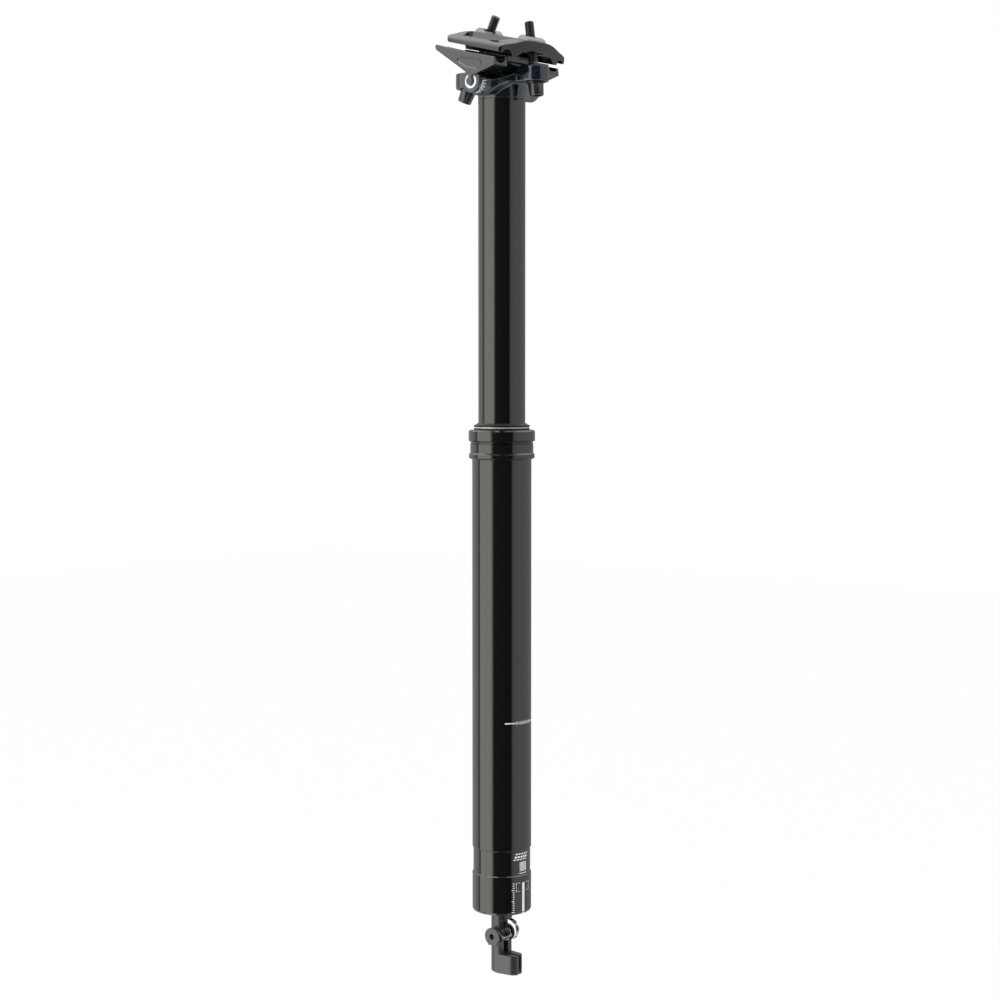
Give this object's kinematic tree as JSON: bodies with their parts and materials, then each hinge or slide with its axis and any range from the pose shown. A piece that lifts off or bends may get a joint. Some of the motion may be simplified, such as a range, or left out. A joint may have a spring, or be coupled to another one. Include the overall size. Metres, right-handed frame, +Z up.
{
  "type": "dropper seatpost",
  "caption": "Height-adjustable bicycle seatpost: telescoping black tubes, two-bolt saddle rail clamp on top, cable release lever at the foot.",
  "frame": {"origin": "on the tube axis at the lower edge of the collar, where the bicycle's seat tube ends", "axes": "+Z up along the post to the saddle, +X to the front of the bicycle, +Y to its left"},
  "size_m": [0.059, 0.055, 0.5111],
  "materials": {
    "black_anodised": "glossy black anodised",
    "forged_black": "forged, polished and anodised gloss black",
    "plain_aluminium": "turned, uncoated",
    "cast_grey": "matte grey casting",
    "bolt_black": "blackened steel",
    "bright_steel": "bright steel",
    "rod_chrome": "polished chrome",
    "key_brass": "plain brass",
    "seal_rubber": "moulded rubber",
    "bushing_plastic": "bearing plastic",
    "white_plastic": "white plastic"
  },
  "bodies": {
    "lower": {"outer_tube": "black_anodised", "seal_collar": "black_anodised", "collar_o_ring": "seal_rubber", "wiper_seal": "seal_rubber", "seal_ring": "bright_steel", "upper_bushing": "bushing_plastic", "top_out_washer": "seal_rubber", "cartridge_rod": "rod_chrome", "cartridge_piston": "plain_aluminium", "piston_ring": "bushing_plastic", "valve_spring": "bright_steel", "rod_nut": "bright_steel", "bottom_cap": "black_anodised", "cap_o_ring": "seal_rubber", "actuator_body": "cast_grey", "pivot_bolt": "cast_grey", "lever_bush": "key_brass", "lever_return_spring": "bright_steel"},
    "upper": {"stanchion": "black_anodised", "lower_bushing": "bushing_plastic", "anti_rotation_keys": "key_brass", "stanchion_end_ring": "plain_aluminium", "cartridge_body": "plain_aluminium", "cartridge_top_plug": "plain_aluminium", "cartridge_seal_head": "plain_aluminium", "rod_seal": "seal_rubber", "post_head": "forged_black", "pivot_rings": "white_plastic"},
    "floating": {"floating_piston": "bushing_plastic", "floating_piston_ring": "seal_rubber"},
    "clamp": {"lower_cradle": "forged_black", "upper_clamp": "forged_black"},
    "front_bolt": {"front_clamp_bolt": "bolt_black", "front_spherical_washer": "bolt_black"},
    "rear_bolt": {"rear_clamp_bolt": "bolt_black", "rear_spherical_washer": "bolt_black"},
    "front_nut": {"front_barrel_nut": "bright_steel"},
    "rear_nut": {"rear_barrel_nut": "bright_steel"},
    "lever": {"release_lever": "rod_chrome", "cable_barrel": "rod_chrome", "barrel_grub_screw": "bolt_black"},
    "release": {"release_pin": "bright_steel", "valve_poppet": "bright_steel"}
  },
  "joints": [
    {"name": "post_slide", "type": "slide", "parent": "lower", "child": "upper", "axis": [0, 0, 1], "range_m": [-0.17, 0]},
    {"name": "floating_piston_slide", "type": "slide", "parent": "upper", "child": "floating", "axis": [0, 0, 1], "range_m": [0, 0.0258]},
    {"name": "saddle_tilt", "type": "hinge", "parent": "upper", "child": "clamp", "pos_m": [0, 0, 0.1964], "axis": [0, 1, 0], "range_deg": [-12, 4]},
    {"name": "front_bolt_swing", "type": "hinge", "parent": "upper", "child": "front_bolt", "pos_m": [0.0225, 0, 0.1967], "axis": [0, 1, 0], "range_deg": [-9.78, 3.26]},
    {"name": "rear_bolt_swing", "type": "hinge", "parent": "upper", "child": "rear_bolt", "pos_m": [-0.0225, 0, 0.1967], "axis": [0, 1, 0], "range_deg": [-8.2, 2.73]},
    {"name": "front_nut_turn", "type": "hinge", "parent": "clamp", "child": "front_nut", "pos_m": [0.01977, 0, 0.21667], "axis": [0, 1, 0], "range_deg": [-0.74, 2.22]},
    {"name": "rear_nut_turn", "type": "hinge", "parent": "clamp", "child": "rear_nut", "pos_m": [-0.00888, 0, 0.22329], "axis": [0, 1, 0], "range_deg": [-1.27, 3.8]},
    {"name": "lever_turn", "type": "hinge", "parent": "lower", "child": "lever", "pos_m": [0, 0, -0.2565], "axis": [0, 1, 0], "range_deg": [0, 25], "stiffness_Nm_per_rad": 0.0001, "springref_deg": -63.03, "deforming": ["lever_return_spring"]},
    {"name": "release_lift", "type": "slide", "parent": "lower", "child": "release", "axis": [0, 0, 1], "range_m": [0, 0.0016], "stiffness_N_per_m": 600, "springref_m": -0.0005, "deforming": ["valve_spring"]}
  ],
  "couplings": [
    {"joint": "floating_piston_slide", "follows": "post_slide", "ratio": -0.15123},
    {"joint": "front_bolt_swing", "follows": "saddle_tilt", "ratio": 0.815},
    {"joint": "rear_bolt_swing", "follows": "saddle_tilt", "ratio": 0.683},
    {"joint": "front_nut_turn", "follows": "saddle_tilt", "ratio": -0.185},
    {"joint": "rear_nut_turn", "follows": "saddle_tilt", "ratio": -0.317},
    {"joint": "lever_turn", "follows": "release_lift", "rad_per_m": 272.7}
  ]
}
